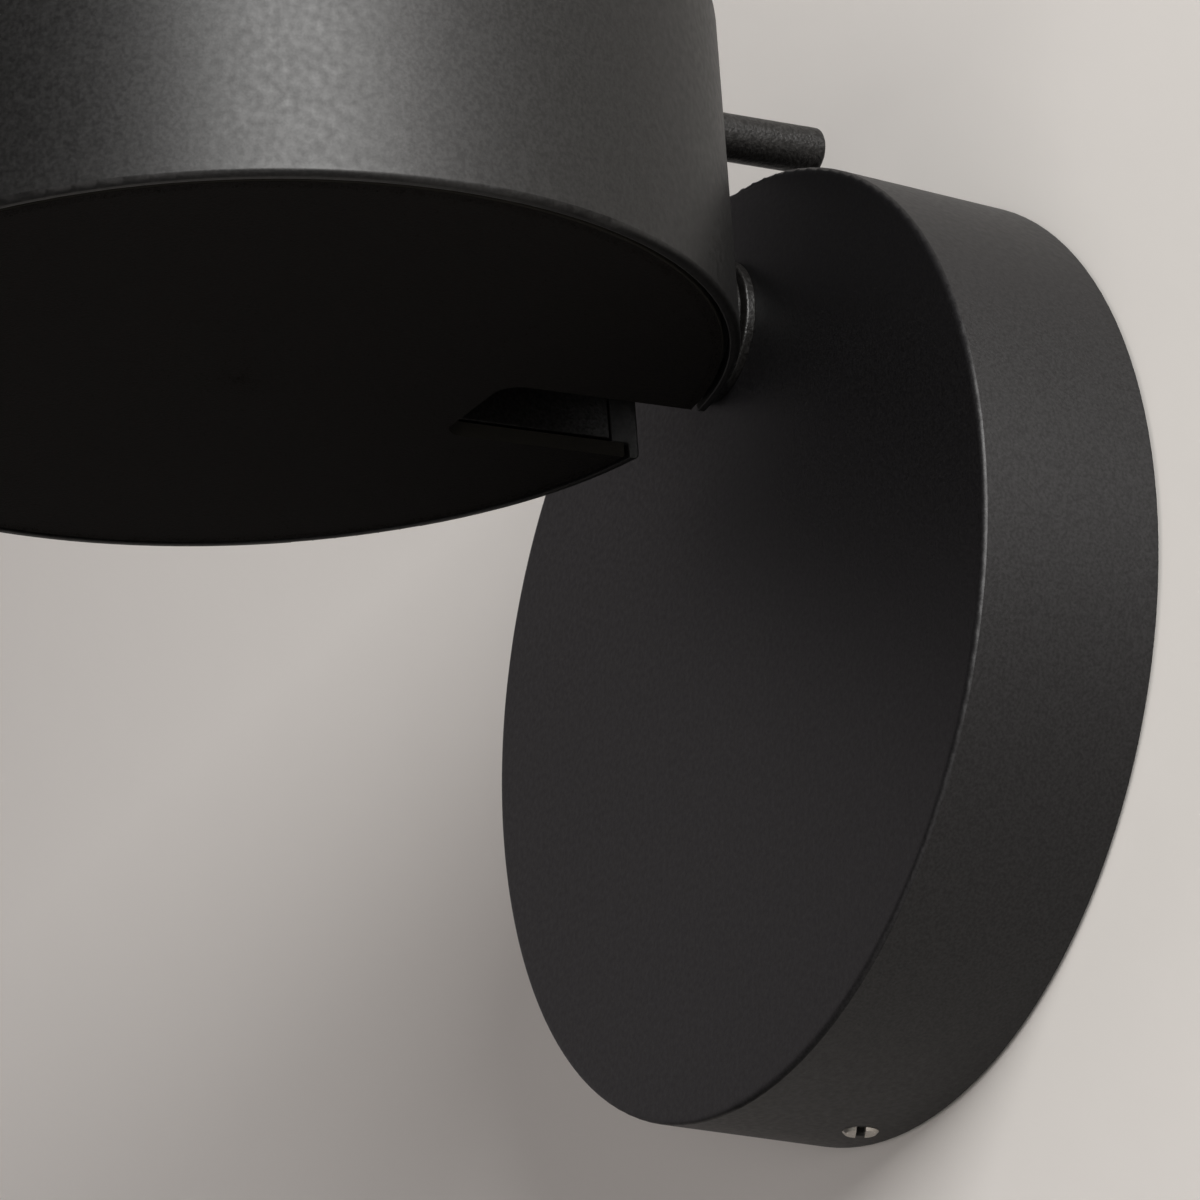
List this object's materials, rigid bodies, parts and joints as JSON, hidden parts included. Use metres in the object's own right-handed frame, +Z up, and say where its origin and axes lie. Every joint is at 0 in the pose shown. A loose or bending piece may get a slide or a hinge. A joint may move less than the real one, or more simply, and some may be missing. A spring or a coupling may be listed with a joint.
{
  "type": "pivoting spotlight wall light",
  "caption": "Drum-shaped wall spotlight on a round wall plate: the head tilts on a short swivelling arm from shining upwards to facing forwards, with a thin rod handle on the drum.",
  "frame": {"origin": "centre of the wall plate's back face, on the wall", "axes": "+Y into the wall, +Z up, +X to the right for someone facing the wall; the lamp stands out along -Y"},
  "size_m": [0.1158, 0.1474, 0.1289],
  "materials": {
    "black_powder_coat": "fine-textured matt powder coat, black",
    "black_powder_coat_head": "fine-textured matt powder coat, black",
    "black_fitting": "textured black",
    "black_arm": "textured black",
    "black_rod": "fine-textured black",
    "black_casting": "black casting, rough",
    "black_felt": "very dark matt backing sheet",
    "zinc_plate": "bright zinc",
    "black_rubber": "matt",
    "nickel_screw": "nickel plated",
    "driver_plastic": "white moulded case",
    "screw_steel": "plain steel",
    "terminal_plastic": "natural white",
    "brass_screw": "plain brass",
    "spring_steel": "spring steel",
    "friction_nylon": "natural nylon",
    "raw_aluminium": "as cast and turned",
    "thermal_silicone": "soft grey-blue pad",
    "white_board": "white solder mask on aluminium",
    "led_phosphor": "yellow phosphor",
    "white_reflector": "white moulded dish",
    "opal_diffuser": "opal, satin"
  },
  "bodies": {
    "wall_base": {"wall_plate": "black_powder_coat", "wall_bracket": "zinc_plate", "cable_grommet": "black_rubber", "canopy_set_screw": "nickel_screw", "driver_case": "driver_plastic", "driver_screws": "screw_steel", "terminal_block": "terminal_plastic", "terminal_screws": "screw_steel", "earth_screw": "brass_screw", "swivel_bush": "black_fitting", "bush_nut": "zinc_plate"},
    "arm": {"neck_arm": "black_arm", "swivel_washer": "screw_steel", "stem_nut": "zinc_plate"},
    "head": {"head_shell": "black_powder_coat_head", "back_cover": "black_felt", "cover_clips": "spring_steel", "handle_rod": "black_rod", "hinge_cradle": "black_casting", "cradle_screws": "screw_steel", "hinge_screw": "screw_steel", "hinge_nut": "zinc_plate", "friction_washers": "friction_nylon", "heat_sink": "raw_aluminium", "heat_sink_screws": "screw_steel", "thermal_pad": "thermal_silicone", "led_board": "white_board", "led_chips": "led_phosphor", "board_screws": "screw_steel", "reflector": "white_reflector", "diffuser": "opal_diffuser", "diffuser_gasket": "black_rubber"}
  },
  "joints": [
    {"name": "neck_swivel", "type": "hinge", "parent": "wall_base", "child": "arm", "pos_m": [0, -0.0232, 0.04015], "axis": [0, 1, 0], "range_deg": [-35, 35]},
    {"name": "head_tilt", "type": "hinge", "parent": "arm", "child": "head", "pos_m": [0, -0.0479, 0.04015], "axis": [1, 0, 0], "range_deg": [-4.19, 85.81]}
  ]
}
